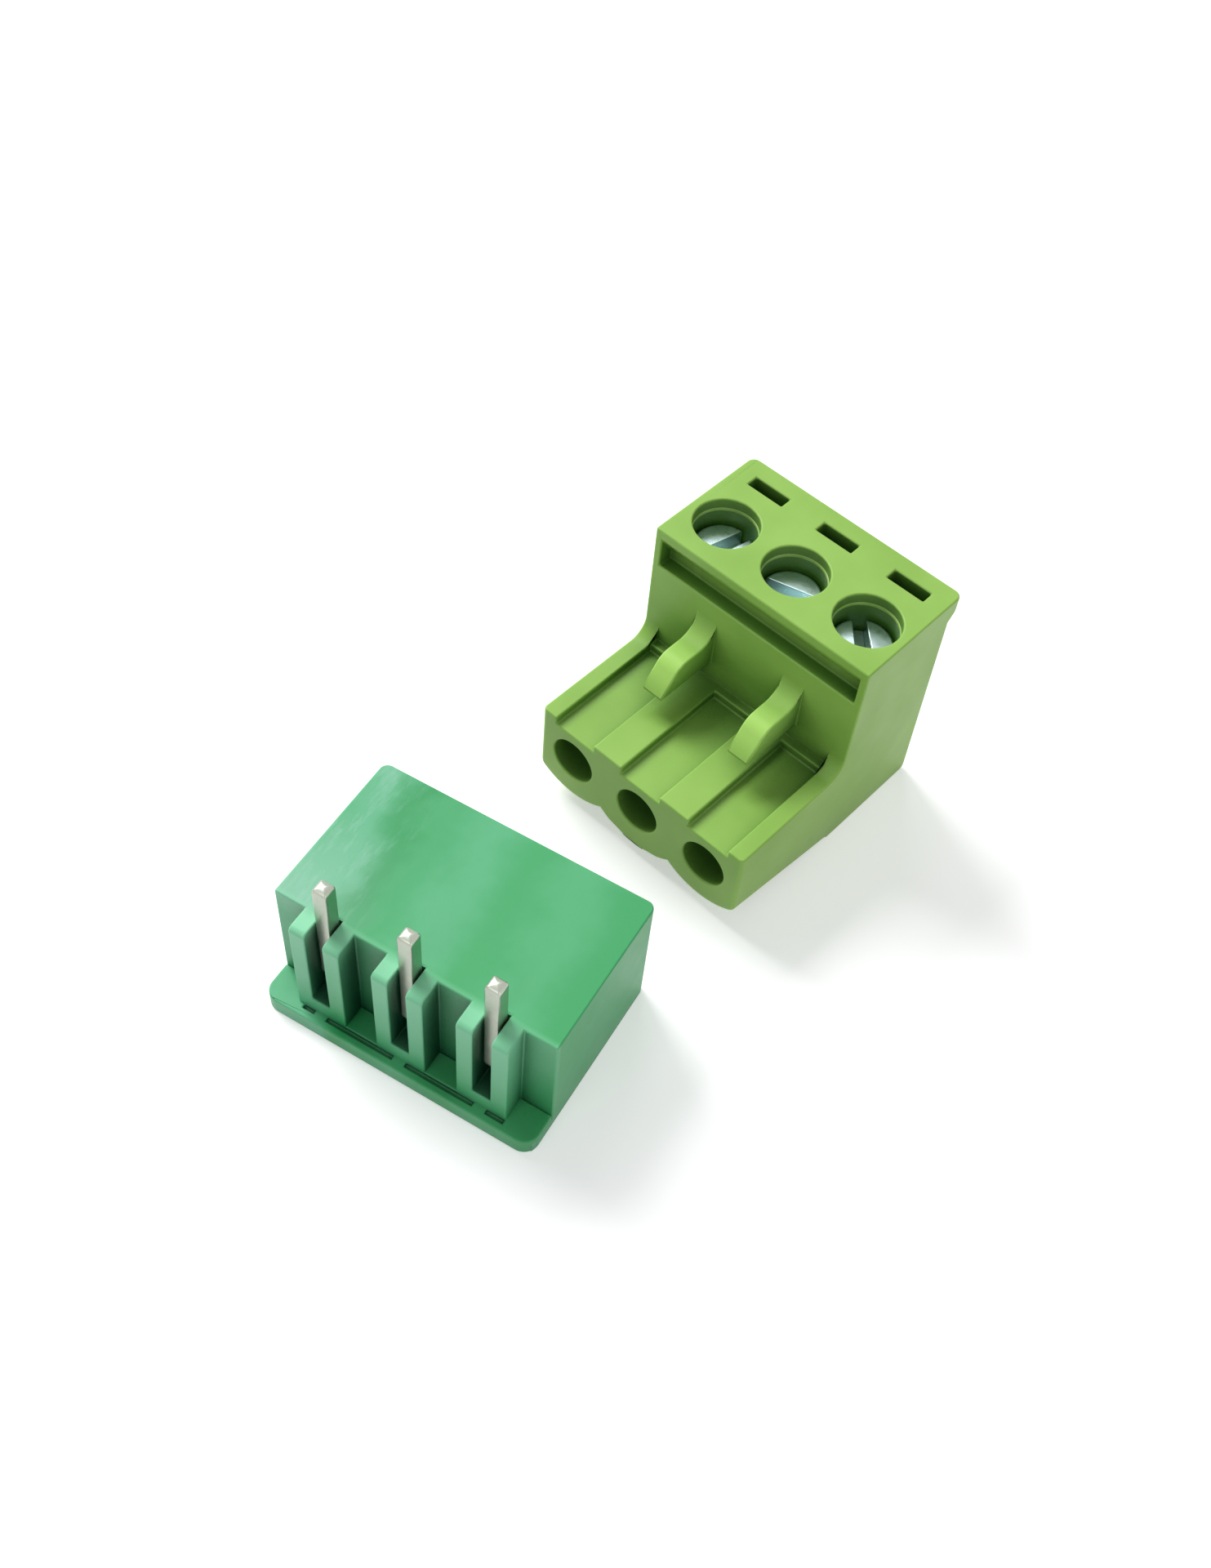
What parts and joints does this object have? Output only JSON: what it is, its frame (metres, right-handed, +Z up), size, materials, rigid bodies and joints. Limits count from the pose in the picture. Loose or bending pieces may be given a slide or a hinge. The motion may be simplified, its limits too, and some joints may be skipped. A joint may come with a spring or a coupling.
{
  "type": "pluggable terminal block",
  "caption": "Green pluggable screw terminal block: a screw plug with two latch tabs and a round lobed nose, and the right-angle pin header it plugs into, lying upside down in front of it.",
  "frame": {"origin": "middle of the plug and header together, on the surface that both stand on", "axes": "+Z up; +X along the plug's row of poles; +Y from the header towards the plug and on towards its wire entries"},
  "size_m": [0.0192, 0.039, 0.0154],
  "materials": {
    "plug_plastic": "satin moulded polyamide, yellow green",
    "header_plastic": "satin moulded polyester, blue green",
    "screw_steel": "zinc plated",
    "cage_steel": "nickel plated, folded strip",
    "contact_metal": "tin plated copper alloy",
    "pin_metal": "tin plated square brass wire"
  },
  "bodies": {
    "block": {"plug_housing": "plug_plastic", "socket_contact_1": "contact_metal", "socket_contact_2": "contact_metal", "socket_contact_3": "contact_metal", "header_housing": "header_plastic", "header_pin_1": "pin_metal", "header_pin_2": "pin_metal", "header_pin_3": "pin_metal"},
    "screw_1": {"clamp_screw_1": "screw_steel"},
    "cage_1": {"clamp_cage_1": "cage_steel"},
    "screw_2": {"clamp_screw_2": "screw_steel"},
    "cage_2": {"clamp_cage_2": "cage_steel"},
    "screw_3": {"clamp_screw_3": "screw_steel"},
    "cage_3": {"clamp_cage_3": "cage_steel"}
  },
  "joints": [
    {"name": "screw_1_turn", "type": "hinge", "parent": "block", "child": "screw_1", "pos_m": [-0.00479, 0.0141, 0.0136], "axis": [0, 0, -1], "range_deg": [0, 1800]},
    {"name": "cage_1_rise", "type": "slide", "parent": "block", "child": "cage_1", "axis": [0, 0, 1], "range_m": [0, 0.0025]},
    {"name": "screw_2_turn", "type": "hinge", "parent": "block", "child": "screw_2", "pos_m": [0.00029, 0.0141, 0.0136], "axis": [0, 0, -1], "range_deg": [0, 1800]},
    {"name": "cage_2_rise", "type": "slide", "parent": "block", "child": "cage_2", "axis": [0, 0, 1], "range_m": [0, 0.0025]},
    {"name": "screw_3_turn", "type": "hinge", "parent": "block", "child": "screw_3", "pos_m": [0.00537, 0.0141, 0.0136], "axis": [0, 0, -1], "range_deg": [0, 1800]},
    {"name": "cage_3_rise", "type": "slide", "parent": "block", "child": "cage_3", "axis": [0, 0, 1], "range_m": [0, 0.0025]}
  ],
  "couplings": [
    {"joint": "screw_1_turn", "follows": "cage_1_rise", "rad_per_m": 12566},
    {"joint": "screw_2_turn", "follows": "cage_2_rise", "rad_per_m": 12566},
    {"joint": "screw_3_turn", "follows": "cage_3_rise", "rad_per_m": 12566}
  ]
}
